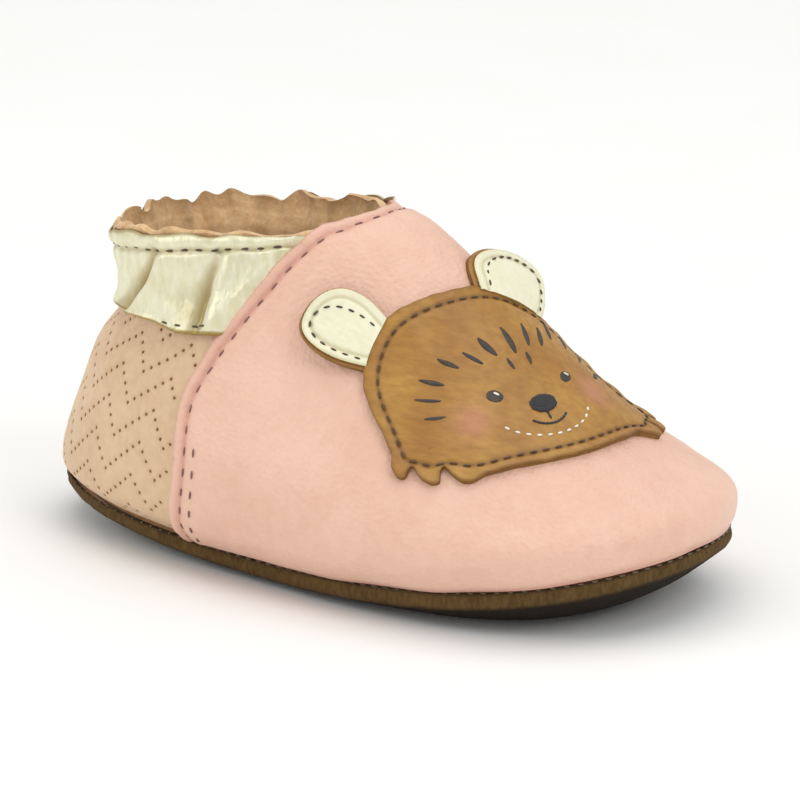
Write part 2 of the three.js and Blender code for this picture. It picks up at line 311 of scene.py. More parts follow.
def finish(
    name, tones, mottle, painted_shade, cloud_mm, grain_mm, fine_mm, cell_mm, heights, rough, relief_mm,
    stretch=(1, 1, 1), tint_and_shade=None, strength=0.7, shader_values=None,
):
    """A leather, suede, thread or ink: mottled colour, painted shade, a second tint and a layered grain.

    Tones are the two ends of the broad colour clouds. Mottle is the colour of the grain's
    high spots and its share. The shade colour is painted shade, laid where a mesh marks its
    grooves, creases, folds, the rims of holes and the underside of the sole. The second tint is
    real colour on some pieces and painted fold shade on others. Heights weigh the grain, the
    fine grain and the pebbles.
    """
    made = bpy.data.materials.new(name)
    made.use_nodes = True
    tree = made.node_tree
    shader = tree.nodes["Principled BSDF"]
    where = add(tree, "ShaderNodeTexCoord").outputs["Object"]
    drawn_out = add(tree, "ShaderNodeMapping", {"Vector": where, "Scale": stretch}).outputs["Vector"]
    cloud, grain, fine = (
        add(tree, "ShaderNodeTexNoise", {"Vector": vector, "Scale": 1 / (size * MM), "Detail": detail})
        for vector, size, detail in (
            (where, cloud_mm, 2.0), (drawn_out, grain_mm, 4.0), (drawn_out, fine_mm, 2.0)
        )
    )
    cells = add(
        tree, "ShaderNodeTexVoronoi", {"Vector": drawn_out, "Scale": 1 / (cell_mm * MM)},
        feature="SMOOTH_F1",
    )
    base = add(
        tree, "ShaderNodeValToRGB", {"Fac": cloud.outputs["Fac"]}, [(0.3, tones[0]), (0.7, tones[1])]
    ).outputs["Color"]
    high_spots = add(
        tree, "ShaderNodeMapRange",
        {"Value": grain.outputs["Fac"], "From Min": 0.35, "From Max": 0.7, "To Max": mottle[1]},
    )
    dips = add(tree, "ShaderNodeAttribute", attribute_name="painted_shade")
    # The second tint is real colour on the pink vamp and the patch's cheeks, and painted shade in the folds
    # of the gold band
    tint_and_shade_mask = add(tree, "ShaderNodeAttribute", attribute_name="tint_and_shade")
    layers = [(high_spots.outputs["Result"], mottle[0]), (dips.outputs["Fac"], painted_shade)]
    if tint_and_shade:
        layers.insert(1, (tint_and_shade_mask.outputs["Fac"], tint_and_shade))
    for share, code in layers:
        base = add(tree, "ShaderNodeMix", {0: share, 6: base, 7: code}, data_type="RGBA").outputs[2]
    height = 0.0
    for texture, weight in ((grain.outputs["Fac"], heights[0]), (fine.outputs["Fac"], heights[1]),
                            (cells.outputs["Distance"], heights[2])):
        height = add(
            tree, "ShaderNodeMath", {0: texture, 1: weight, 2: height}, operation="MULTIPLY_ADD"
        ).outputs[0]
    gloss = add(
        tree, "ShaderNodeMapRange", {"Value": grain.outputs["Fac"], "To Min": rough[0], "To Max": rough[1]}
    )
    relief = add(
        tree, "ShaderNodeBump", {"Height": height, "Distance": relief_mm * MM, "Strength": strength}
    )
    tree.links.new(base, shader.inputs["Base Color"])
    tree.links.new(gloss.outputs["Result"], shader.inputs["Roughness"])
    tree.links.new(relief.outputs["Normal"], shader.inputs["Normal"])
    for socket, value in (shader_values or {}).items():
        shader.inputs[socket].default_value = value
    return made


# In each finish below, the colour after the mottle is painted shade, laid where a mesh marks grooves,
# creases and hollows
# Nappa is drum-dyed and lightly finished: satin, with a fine pebble grain that is drawn
# a little coarser than it is so that it shows
PINK = finish(
    "Pink nappa leather", ("#E2B39B", "#EABFA8"), ("#F0CBB5", 0.3), "#C98C7C", 18, 2.4, 0.55, 0.8,
    (0.6, 0.4, 0.8), (0.42, 0.6), 0.3, tint_and_shade="#D39C88",
    shader_values={"Coat Weight": 0.08, "Coat Roughness": 0.35, "Sheen Weight": 0.1},
)
BEIGE = finish(
    "Beige nappa leather", ("#D0AC86", "#DBBA94"), ("#E6CDAE", 0.35), "#A9804F", 12, 1.8, 0.5, 0.8,
    (0.6, 0.4, 0.6), (0.46, 0.62), 0.22, shader_values={"Sheen Weight": 0.1},
)
# Foiled leather carries a pale gold film that crinkles finely and glints along the crinkles
# Its brown second tint is painted shade in the band's fold valleys, and also the raw foot's own
# golden-brown
GOLD = finish(
    "Pale gold foiled leather", ("#D6D0A6", "#E6E2C2"), ("#F6F3E0", 0.55), "#9C8748", 7, 1.3, 0.45, 0.7,
    (1.0, 0.45, 0.3), (0.3, 0.5), 0.26, (1.0, 1.0, 0.4), tint_and_shade="#A38A4A",
    shader_values={"Metallic": 0.38, "Coat Weight": 0.1},
)
FLAT_GOLD = finish(
    "Matt pale gold leather", ("#E8E5C3", "#EFECD0"), ("#F6F3DE", 0.4), "#AE9C62", 9, 1.1, 0.4, 0.6,
    (0.5, 0.4, 0.3), (0.45, 0.6), 0.12, shader_values={"Metallic": 0.12},
)
# Waxed pull-up leather is oily and streaked, and lighter where it is stretched
TAN = finish(
    "Tan pull-up leather", ("#A2702C", "#B88A3C"), ("#8A5C22", 0.5), "#643F17", 9, 1.4, 0.45, 0.8,
    (0.8, 0.4, 0.2), (0.42, 0.62), 0.2, (0.3, 1.0, 1.5), tint_and_shade="#C4806A",
    shader_values={"Coat Weight": 0.06},
)
# Split suede is the buffed flesh side: matt, with a short uneven nap
# Its near-black shade colour is painted shadow over the underside and painted shade along the edge
SOLE_SUEDE = finish(
    "Brown split suede", ("#45321B", "#5C4627"), ("#735B37", 0.6), "#1A130B", 9, 0.7, 0.35, 0.6,
    (1.0, 0.5, 0.2), (0.9, 1.0), 0.3, (1.0, 1.0, 0.35), shader_values={"Specular IOR Level": 0.2},
)
LINING_SUEDE = finish(
    "Tan lining suede", ("#C79B68", "#DDB684"), ("#ECCDA2", 0.6), "#86623A", 7, 0.9, 0.4, 0.6,
    (1.0, 0.5, 0.2), (0.88, 1.0), 0.3, (1.0, 1.0, 0.6), shader_values={"Sheen Weight": 0.2},
)
# Cut edges show open fibres: matt, and darker than the face
PINK_EDGE = finish(
    "Cut edge of pink leather", ("#B98571", "#CF9C87"), ("#D9AC98", 0.5), "#A06C5A", 3, 0.5, 0.3, 0.4,
    (1.0, 0.4, 0.2), (0.85, 0.95), 0.15,
)
TAN_EDGE = finish(
    "Cut edge of tan leather", ("#73501F", "#8C6630"), ("#A47C42", 0.5), "#5A3C18", 3, 0.5, 0.3, 0.4,
    (1.0, 0.4, 0.2), (0.85, 0.95), 0.15,
)
GOLD_EDGE = finish(
    "Cut edge of gold leather", ("#8A6A2E", "#A98843"), ("#C0A160", 0.5), "#6E5222", 3, 0.5, 0.3, 0.4,
    (1.0, 0.4, 0.2), (0.8, 0.9), 0.15,
)
# Spun polyester thread: fine plies with a soft sheen
THREADS = {
    "rose": ("Dusty rose thread", "#6E4A44", "#8E625A"),
    "dark": ("Dark brown thread", "#3A2B22", "#54402F"),
    "tan": ("Brown thread", "#3E2813", "#5C3D1E"),
    "sole": ("Olive brown thread", "#4A3A26", "#6A5638"),
    "white": ("White thread", "#E2DCD0", "#FBF8F0"),
    "black": ("Black thread", "#17161A", "#2E2C30"),
}
THREAD = {
    key: finish(
        name, (dark, light), (light, 0.5), dark, 2, 0.35, 0.2, 0.3, (1.0, 0.3, 0.1), (0.5, 0.7), 0.06,
        shader_values={"Sheen Weight": 0.2},
    )
    for key, (name, dark, light) in THREADS.items()
}
# Screen ink is thin and worn a little by the grain below it
SPOT_INK = finish(
    "Dark spot ink", ("#25201E", "#3A332E"), ("#5A4C3C", 0.5), "#1A1614", 4, 0.8, 0.3, 0.5,
    (1.0, 0.4, 0.2), (0.45, 0.6), 0.06,
)
HOLE_BROWN = finish(
    "Shaded leather in the holes", ("#6E4A2C", "#85603C"), ("#96704A", 0.4), "#5A3A20", 3, 0.5, 0.3, 0.4,
    (1.0, 0.4, 0.2), (0.9, 1.0), 0.05,
)


# Meshes

def placed(name, data):
    """A new object in the scene."""
    made = bpy.data.objects.new(name, data)
    bpy.context.scene.collection.objects.link(made)
    return made


def flat_mesh(name, points, faces, materials, face_slots=None, attributes=None, crease=50):
    """Mesh object from points in millimetres, with values at its vertices."""
    mesh = bpy.data.meshes.new(name)
    mesh.from_pydata((points * MM).tolist(), [], list(faces))
    for material in materials:
        mesh.materials.append(material)
    if face_slots is not None:
        mesh.polygons.foreach_set("material_index", face_slots.astype(np.int32))
    mesh.polygons.foreach_set("use_smooth", np.ones(len(mesh.polygons), bool))
    for key, values in (attributes or {}).items():
        layer = mesh.attributes.new(key, "FLOAT", "POINT")
        layer.data.foreach_set("value", np.asarray(values, np.float32))
    mesh.update()
    mesh.set_sharp_from_angle(angle=math.radians(crease))
    return placed(name, mesh)


def grid_quads(rows, columns, closed):
    """Vertex numbers of a grid and the quads between them, round to the start if closed."""
    index = np.arange(rows * columns).reshape(rows, columns)
    if closed:
        index = np.hstack([index, index[:, :1]])
    quads = np.stack([index[:-1, :-1], index[:-1, 1:], index[1:, 1:], index[1:, :-1]], -1)
    return index, quads.reshape(-1, 4)


def sheet_faces(rows, columns, closed=False):
    """Faces of a closed sheet, front, back and rim, and how many the front has."""
    index, quads = grid_quads(rows, columns, closed)
    layer = rows * columns
    if closed:
        borders = [index[0], index[-1][::-1]]
    else:
        borders = [np.concatenate([index[0], index[1:, -1], index[-1, -2::-1], index[-2::-1, 0]])]
    rims = [np.stack([b[:-1], b[1:], b[1:] + layer, b[:-1] + layer], -1) for b in borders]
    return np.concatenate([quads + layer, quads[:, ::-1], *rims]), len(quads)


def sheet_body(name, face, back, materials, closed=False, attributes=None):
    """Closed sheet between two grids of points. Its rim takes the last material."""
    faces, per_side = sheet_faces(*face.shape[:2], closed)
    slots = np.zeros(len(faces), int)
    slots[2 * per_side:] = len(materials) - 1
    slots[per_side:2 * per_side] = min(1, len(materials) - 1)
    points = np.concatenate([back.reshape(-1, 3), face.reshape(-1, 3)])
    values = {key: np.tile(np.ravel(value), 2) for key, value in (attributes or {}).items()}
    return flat_mesh(name, points, faces, materials, slots, values)


def stitch_tree():
    """Puts one rounded stitch on each point, along its tangent and on its normal."""
    tree = bpy.data.node_groups.new("Stitches on a path", "GeometryNodeTree")
    tree.interface.new_socket("Points", in_out="INPUT", socket_type="NodeSocketGeometry")
    for label in ("Length", "Width", "Height"):
        tree.interface.new_socket(label, in_out="INPUT", socket_type="NodeSocketFloat")
    tree.interface.new_socket("Material", in_out="INPUT", socket_type="NodeSocketMaterial")
    tree.interface.new_socket("Stitches", in_out="OUTPUT", socket_type="NodeSocketGeometry")
    given = tree.nodes.new("NodeGroupInput").outputs
    out = tree.nodes.new("NodeGroupOutput")
    size = add(
        tree, "ShaderNodeCombineXYZ", {"X": given["Length"], "Y": given["Width"], "Z": given["Height"]}
    )
    bead = add(tree, "GeometryNodeMeshUVSphere", {"Segments": 10, "Rings": 6, "Radius": 0.5})
    shaped = add(
        tree, "GeometryNodeTransform", {"Geometry": bead.outputs["Mesh"], "Scale": size.outputs[0]}
    )
    normal, tangent = (
        add(tree, "GeometryNodeInputNamedAttribute", {"Name": label}, data_type="FLOAT_VECTOR").outputs[0]
        for label in ("normal_to", "tangent_to")
    )
    stand = add(tree, "FunctionNodeAlignRotationToVector", {"Vector": normal}, axis="Z")
    turn = add(
        tree, "FunctionNodeAlignRotationToVector", {"Rotation": stand.outputs[0], "Vector": tangent},
        axis="X", pivot_axis="Z",
    )
    place = add(
        tree, "GeometryNodeInstanceOnPoints",
        {"Points": given["Points"], "Instance": shaped.outputs[0], "Rotation": turn.outputs[0]},
    )
    real = add(tree, "GeometryNodeRealizeInstances", {"Geometry": place.outputs[0]})
    smooth = add(tree, "GeometryNodeSetShadeSmooth", {"Geometry": real.outputs[0]})
    dyed = add(
        tree, "GeometryNodeSetMaterial", {"Geometry": smooth.outputs[0], "Material": given["Material"]}
    )
    tree.links.new(dyed.outputs[0], out.inputs["Stitches"])
    return tree


STITCH_TREE = stitch_tree()


def sewn(name, rows, length, width, height, material):
    """One mesh of stitches from rows of points, tangents and normals."""
    points, tangents, normals = (np.concatenate([row[i] for row in rows]) for i in range(3))
    mesh = bpy.data.meshes.new(name)
    mesh.from_pydata((points * MM).tolist(), [], [])
    for key, values in (("normal_to", normals), ("tangent_to", tangents)):
        mesh.attributes.new(key, "FLOAT_VECTOR", "POINT").data.foreach_set("vector", values.ravel())
    made = placed(name, mesh)
    modifier = made.modifiers.new("Stitches", "NODES")
    modifier.node_group = STITCH_TREE
    sizes = {"Length": length * MM, "Width": width * MM, "Height": height * MM, "Material": material}
    for item in STITCH_TREE.interface.items_tree:
        if item.name in sizes:
            modifier[item.identifier] = sizes[item.name]
    bpy.context.view_layer.update()
    graph = bpy.context.evaluated_depsgraph_get()
    solid = bpy.data.meshes.new_from_object(made.evaluated_get(graph))
    made.modifiers.clear()
    made.data = solid
    bpy.data.meshes.remove(mesh)
    return made


def settle(piece, slot, *nodes):
    """The piece rides on the shoe and stands for CAD nodes, which are hidden; its slot is not used."""
    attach(piece, "root")
    if nodes:
        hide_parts(*nodes)


# Edge of the vamp, from the seam on one side, over the instep, to the other side

def softened(values, spread):
    """A bell-weighted running mean over a row of values, straight beyond its ends."""
    reach = int(3 * spread)
    steps = np.arange(1, reach + 1)
    before = values[0] - steps[::-1] * (values[1] - values[0])
    after = values[-1] + steps * (values[-1] - values[-2])
    weights = np.exp(-0.5 * (np.arange(-reach, reach + 1) / spread) ** 2)
    return np.convolve(np.concatenate([before, values, after]), weights / weights.sum(), "valid")


EDGE_RISES = np.linspace(0, 1, 401)
EDGE_ANGLES = softened(np.radians(read_columns(VAMP_EDGE, EDGE_RISES)[..., 0]), 22)


def vamp_edge_angle(rise):
    return np.interp(rise, EDGE_RISES, EDGE_ANGLES)


def vamp_rim(samples=260, foot=LAYER_FOOT):
    rises = np.linspace(foot, 1, samples)
    rear = vamp_edge_angle(rises)
    top = np.linspace(rear[-1], -rear[-1], 80)[1:-1]
    angle = np.concatenate([rear, top, -rear[::-1]])
    rise = np.concatenate([rises, np.ones(len(top)), rises[::-1]])
    return angle, rise


def even_path(angle, rise, step=0.5):
    """The same path with points an even step apart and its corners eased."""
    run = run_along(last_point(angle, rise))
    places = np.linspace(0, run[-1], int(run[-1] / step))
    return np.interp(places, run, angle), np.interp(places, run, rise)


# Soft troughs in the vamp: angle and rise of the middle, lean, half length, half width, depth
VAMP_CREASES = [
    (-70, 0.86, 0.25, 9, 1.3, 0.22), (-52, 0.93, 0.35, 6, 1.0, 0.16), (-30, 0.95, 0.2, 5, 1.2, 0.16),
    (-6, 0.93, 0.0, 6, 1.4, 0.14), (22, 0.94, -0.2, 6, 1.2, 0.18), (48, 0.92, -0.3, 8, 1.1, 0.18),
    (70, 0.86, -0.2, 9, 1.3, 0.22), (-97, 0.42, 0.1, 10, 1.6, 0.16), (-84, 0.2, -0.3, 7, 1.8, 0.14),
    (92, 0.42, -0.1, 10, 1.6, 0.16), (-38, 0.2, 0.4, 8, 2.2, 0.12), (14, 0.24, -0.5, 9, 2.4, 0.14),
]


def vamp_relief(angle, rise, to_edge, to_seam):
    """How far the outside of the vamp stands off the last, in millimetres."""
    round_mm, up_mm = angle * VAMP_SPANS[0], rise * VAMP_SPANS[1]
    face = np.full(angle.shape, VAMP_BACK + VAMP_THICK)
    face += 0.2 * bump(to_edge - 0.8, 0.9) - 0.34 * bump(to_edge - EDGE_TO_STITCH, 0.5)
    face += 0.12 * bump(to_edge - EDGE_TO_STITCH - 1.5, 1.0)
    face -= rounded_edge(to_edge, 0.6) + 0.45 * bump(to_seam, 1.0)
    face += 0.26 * smooth_noise(round_mm, up_mm, 4, 26) + 0.05 * smooth_noise(round_mm, up_mm, 5, 6)
    face += 0.12 * np.sin(round_mm / 1.9 + 0.8 * np.sin(round_mm / 5.1)) * np.exp(-to_seam / 2.4)
    drawn_in = np.sin((round_mm * 0.55 + up_mm) * 2 * math.pi / STITCH_PITCH)
    face += 0.05 * drawn_in * bump(to_edge - EDGE_TO_STITCH, 1.6)
    for crease_angle, crease_rise, lean, length, width, depth in VAMP_CREASES:
        lengthways = (rise - crease_rise) * VAMP_SPANS[1]
        sideways = (np.degrees(angle) - crease_angle) * 0.5 - lean * lengthways
        face -= depth * bump(sideways, width) * bump(lengthways, length)
        face += 0.5 * depth * bump(sideways - 2.2 * width, 1.3 * width) * bump(lengthways, length)
    return face


def make_vamp():
    """Front of the slipper: one smooth piece, puffed over the toes."""
    across = np.sin(np.linspace(-1, 1, 261) * math.pi / 2 * 0.82) / math.sin(math.pi / 2 * 0.82)
    along = LAYER_FOOT + (1 - LAYER_FOOT) * np.linspace(0, 1, 131) ** 0.92
    turn, rise = np.meshgrid(across, along)
    angle = turn * vamp_edge_angle(rise)
    surface = last_point(angle, rise)
    to_edge = nearest(surface, last_point(*even_path(*vamp_rim())))
    seam_angle = np.linspace(-2.1, 2.1, 600)
    to_seam = nearest(surface, last_point(seam_angle, np.full(600, LAYER_FOOT)))
    face = vamp_relief(angle, rise, to_edge, to_seam)
    # Painted shade in the stitch groove, along the rolled cut edge and in the crease along the sole
    painted_shade = 0.5 * bump(to_edge - EDGE_TO_STITCH, 0.4) + 0.3 * bump(to_edge, 0.8) + 0.7 * bump(to_seam, 0.9)
    made = sheet_body(
        "vamp_leather", shell_point(angle, rise, face), shell_point(angle, rise, VAMP_BACK),
        [PINK, PINK_EDGE],
        attributes={"painted_shade": clamp(painted_shade), "tint_and_shade": 0.55 * bump(to_edge - EDGE_TO_STITCH, 1.1)},
    )
    settle(made, "pink_leather", "vamp")


# Distances in from the rear edge and the seam
LOW_ROW_IN = 4.7
FAR_IN = 9


def vamp_stitches():
    """Rose topstitch inside the rear edge, with a second row low at each side."""
    angle, rise = even_path(*vamp_rim(foot=0.03))
    angle, rise = inset(angle, rise, EDGE_TO_STITCH)
    angle, rise = softened(angle, 8), softened(rise, 8)
    paths = [(angle, rise)]
    for side in (1, -1):
        rises = np.linspace(0.04, 0.36, 60)
        paths.append(inset(side * vamp_edge_angle(rises), rises, LOW_ROW_IN * side))
    rows = []
    rim = last_point(*even_path(*vamp_rim(), 0.2))
    for angle, rise in paths:
        to_edge = nearest(last_point(angle, rise), rim)
        points = shell_point(angle, rise, vamp_relief(angle, rise, to_edge, FAR_IN) + 0.1)
        rows.append(spaced(points, surface_normal(angle, rise), STITCH_PITCH))
    made = sewn("vamp_stitches", rows, STITCH_LONG, THREAD_THICK, 0.36, THREAD["rose"])
    settle(made, "pink_leather")


# Heel panel and its punched zigzags

HEEL_TOP = 0.83
ZIGZAG_START = (234.0, 0.409)
STEEP_LEG = np.array([4.7, -5.7])
SLANTED_LEG = np.array([8.7, 7.1])
NEXT_ROW = np.array([-1.5, -6.35])
HOLE_PITCH = 1.75
HOLE_SIZE = 0.74


def heel_holes():
    """Angle and rise of each hole: stacked zigzags with a steep leg and a slanting one."""
    places = []
    for row in range(-9, 10):
        for tooth in range(-8, 4):
            corner = row * NEXT_ROW + tooth * (STEEP_LEG + SLANTED_LEG)
            for start, leg in ((corner, SLANTED_LEG), (corner + SLANTED_LEG, STEEP_LEG)):
                count = round(math.hypot(*leg) / HOLE_PITCH)
                places += [start + leg * i / count for i in range(count)]
    across, up = np.array(places).T
    angle, rise = on_surface(across, up, ZIGZAG_START, 14)
    from_toe = np.abs((angle + math.pi) % (2 * math.pi) - math.pi)
    past_vamp = np.degrees(from_toe - vamp_edge_angle(clamp(rise)))
    shown = (past_vamp > 1.8) & (rise > 0.035) & (rise < HEEL_TOP - 0.03) & (np.abs(angle - math.pi) < 1.6)
    return angle[shown], rise[shown]


def heel_offset(angle, rise):
    """How far the heel panel's face stands off the last, before the holes."""
    face = UPPER_FACE + 0.45 + 0.3 * rolling(angle, rise, HEEL_SPANS, 9, 24)
    return face + 0.06 * rolling(angle, rise, HEEL_SPANS, 10, 6)


def make_heel_panel():
    """Back of the slipper, punched, seen between the vamp's rear edges."""
    turn, rise = np.meshgrid(np.linspace(-1, 1, 281), np.linspace(LAYER_FOOT, HEEL_TOP, 141))
    reach = math.pi - vamp_edge_angle(rise) + math.radians(14)
    angle = math.pi + turn * reach
    surface = last_point(angle, rise)
    hole_angle, hole_rise = heel_holes()
    to_hole = nearest(surface, last_point(hole_angle, hole_rise))
    to_seam = nearest(surface, last_point(np.linspace(1.6, 4.7, 400), np.full(400, LAYER_FOOT)))
    face = heel_offset(angle, rise) - 0.2 * bump(to_hole, 0.5) - 0.4 * bump(to_seam, 1.0)
    under_vamp = clamp((np.abs(turn) * reach - (math.pi - vamp_edge_angle(rise))) / math.radians(5))
    face -= 0.5 * under_vamp
    # Painted shade round each punched hole and in the crease along the sole
    painted_shade = 0.45 * bump(to_hole, 0.5) + 0.6 * bump(to_seam, 1.2)
    made = sheet_body(
        "heel_panel_leather", shell_point(angle, rise, face), shell_point(angle, rise, UPPER_FACE - 0.3),
        [BEIGE, TAN_EDGE], attributes={"painted_shade": clamp(painted_shade)},
    )
    settle(made, "beige_leather", "upper")


def make_heel_holes():
    """Mouths of the punched holes, each a shallow bead sunk in the leather."""
    angle, rise = heel_holes()
    points = shell_point(angle, rise, heel_offset(angle, rise) - 0.14)
    rows = [(points, unit(surface_steps(angle, rise)[0]), surface_normal(angle, rise))]
    made = sewn("heel_punched_holes", rows, HOLE_SIZE, HOLE_SIZE, 0.1, HOLE_BROWN)
    settle(made, "beige_leather")


# Collar: gold band outside and suede lining inside, gathered by the elastic between

# Foot of the band: its rise at each share of the way from the heel to the vamp
BAND_FOOT = {0.0: (0.632,), 0.2: (0.645,), 0.45: (0.69,), 0.68: (0.728,), 0.8: (0.716,), 1.0: (0.732,)}
BAND_STITCH = 0.85
RAW_FOOT = 0.75
BAND_TUCK = 4

# Folds: angle from the toe at the stitch row and at the foot, bow, depth,
# half width of the overlapping side and of the open side in degrees
BAND_FOLDS = [
    (303, 298, 0, 0.4, 2.6, 5.0), (292, 288, 1, 0.5, 2.6, 5.0), (284, 280, 2, 0.3, 2.8, -5.5),
    (279, 258, -1, 1.6, 2.4, 5.5), (266, 247, 1, 0.4, 3.4, 6.0), (251, 223, -1, 2.0, 2.4, 7.5),
    (238, 214, 0, 0.35, 3.4, 5.0), (222, 207, -1, 0.6, 2.6, 6.0), (205, 195, 1, 0.5, 2.6, 5.5),
    (190, 183, 1, 0.8, 2.6, -6.0), (172, 172, -1, 0.8, 2.6, 6.0), (156, 163, 1, 1.1, 2.4, -7.0),
    (140, 148, 1, 0.7, 2.6, 5.5), (126, 139, -1, 1.3, 2.3, -8.0), (109, 118, 1, 0.8, 2.6, 6.0),
    (93, 107, 1, 1.4, 2.3, -8.0), (80, 86, -1, 0.7, 2.6, 5.0), (68, 74, 0, 0.8, 2.4, -5.0),
    (56, 60, 0, 0.4, 2.6, 4.0),
]

# How far the elastic draws the collar down, by the angle from the toe, in millimetres
COLLAR_DROP = {
    0: (0.0,), 45: (0.8,), 100: (1.3,), 165: (1.7,), 205: (1.6,), 228: (0.7,), 250: (0.0,), 280: (0.0,),
    296: (0.8,), 312: (1.8,), 360: (0.0,),
}


def band_foot(from_heel):
    return read_columns(BAND_FOOT, from_heel)[..., 0]


def heel_share(angle):
    """How far a place lies from the heel, 0, towards the vamp's edge beside the collar, 1."""
    return clamp(np.abs(angle - math.pi) / (math.pi - vamp_edge_angle(0.74)))


def fold_relief(degrees, share):
    """Depth of the gathers: each is steep where one panel laps over the next."""
    relief = np.zeros(np.broadcast(degrees, share).shape)
    down = clamp((BAND_STITCH - share) / BAND_STITCH)
    above = clamp((share - BAND_STITCH) / (1 - BAND_STITCH))
    for at_row, at_foot, bow, depth, lap, opening in BAND_FOLDS:
        middle = mix(at_row, at_foot, down**1.1) + bow * 2 * np.sin(math.pi * down)
        away = (degrees - middle) * (1 if opening > 0 else -1)
        spread = mix(0.6, 1.0, down**0.5)
        gentle = np.exp(-np.abs(away / (abs(opening) * spread)) ** 1.3)
        wall = np.where(away > 0, bump(away, lap), gentle)
        lip = 0.3 * bump(away - 2.4 * lap, 1.5 * lap)
        strength = mix(0.35, 1.0, np.sin(math.pi * clamp(down * 0.74 + 0.06))) * (1 - 0.7 * above)
        relief += depth * (lip - wall) * strength
    return relief


def ruffle(degrees):
    """How the top edge waves: outwards and upwards, calmer on the wearer's right."""
    phase = np.radians(degrees)
    outwards = 0.55 * np.sin(13 * phase + 1.2 * np.sin(3 * phase)) + 0.35 * np.sin(29 * phase + 0.7)
    upwards = 0.55 * np.sin(11 * phase + 0.9 * np.sin(4 * phase) + 1.0) + 0.25 * np.sin(23 * phase)
    calm = clamp((np.minimum(degrees, 360 - degrees) - 45) / 25)
    lively = calm * mix(1.0, 0.4, clamp((degrees - 195) / 40))
    return outwards * lively, upwards * lively


def collar_face(degrees, share):
    """Offset of the band's outside from the last, and how much higher its top waves."""
    outwards, upwards = ruffle(degrees)
    near_top = clamp((share - 0.7) / 0.3)
    at_heel = clamp((215 - degrees) / 25) * clamp((degrees - 140) / 25)
    face = BAND_BACK + BAND_THICK + 1.35 + fold_relief(degrees, share) + outwards * near_top
    face -= at_heel * (0.7 + 0.9 * near_top + 1.1 * clamp(1 - share) ** 2)
    face += 0.35 * smooth_noise(degrees * 0.45, share * BAND_TALL, 27, 9) * (1 - near_top)
    face += 0.8 * clamp(1 - share) ** 4 - 0.5 * bump(share - BAND_STITCH, 0.03)
    face += 0.3 * bump(share - 0.93, 0.05)
    drop = read_columns(COLLAR_DROP, degrees)[..., 0]
    return face, (upwards * near_top**2 - drop * share) / COLLAR_TALL


def tucked_face(angle, rise, face):
    """The band's outside goes down under the vamp's edge at both its ends."""
    from_toe = np.minimum(angle, 2 * math.pi - angle)
    start = vamp_edge_angle(clamp(rise)) - math.radians(BAND_TUCK)
    return mix(VAMP_BACK - 0.1, face, clamp(np.degrees(from_toe - start) / 7) ** 0.7)


def make_band():
    """Pale gold band, pinched in folds under its stitched top and flared at its foot."""
    turn, share = np.meshgrid(np.linspace(-1, 1, 521), np.linspace(0, 1, 71))
    lowest = band_foot(np.abs(turn))
    level = mix(lowest, 1.0, share)
    rise = level
    for _ in range(4):
        start = vamp_edge_angle(clamp(rise)) - math.radians(BAND_TUCK)
        angle = math.pi + turn * (math.pi - start)
        degrees = np.degrees(angle)
        face, higher = collar_face(degrees, share)
        rise = level + higher
    face = tucked_face(angle, rise, face)
    back = face - mix(1.15, 0.85, clamp(share * 3))
    edge_mm = np.minimum(share, 1 - share) * BAND_TALL
    folds = fold_relief(degrees, share)
    # Painted shade in the fold valleys, plus the raw foot's own golden-brown tint
    shade = 0.8 * clamp(-folds - 0.5) + clamp((RAW_FOOT - share * BAND_TALL) / 0.2)
    # Painted shade at the stitch row, along the top edge and in the fold valleys
    painted_shade = 0.6 * bump(share - BAND_STITCH, 0.02) + 0.9 * bump(share - 1, 0.02) + 0.6 * clamp(-folds - 0.55)
    made = sheet_body(
        "ankle_band_leather", shell_point(angle, rise, face - rounded_edge(edge_mm, 0.4)),
        shell_point(angle, rise, back), [GOLD, LINING_SUEDE, GOLD_EDGE],
        attributes={"painted_shade": clamp(painted_shade), "tint_and_shade": clamp(shade)},
    )
    settle(made, "gold_leather", "ankle_band")


def band_stitches():
    """Dark topstitch under the top edge of the band, and along its foot near the vamp."""
    rows = []
    runs = [(BAND_STITCH, 44, 316, 0.08), (0.09, 245, 300, 0.0), (0.09, 60, 115, 0.0)]
    for share, low, high, sunk in runs:
        degrees = np.linspace(low, high, 900)
        angle = np.radians(degrees)
        face, higher = collar_face(degrees, share)
        rise = mix(band_foot(heel_share(angle)), 1.0, share) + higher
        shown = np.minimum(angle, 2 * math.pi - angle) > vamp_edge_angle(rise) + math.radians(2)
        angle, rise = angle[shown], rise[shown]
        face = tucked_face(angle, rise, face[shown]) + sunk
        points = shell_point(angle, rise, face)
        normals = shell_point(angle, rise, face + 1) - points
        rows.append(spaced(points, normals, 2.9))
    made = sewn("ankle_band_stitches", rows, 1.5, THREAD_THICK, 0.42, THREAD["dark"])
    settle(made, "gold_leather")


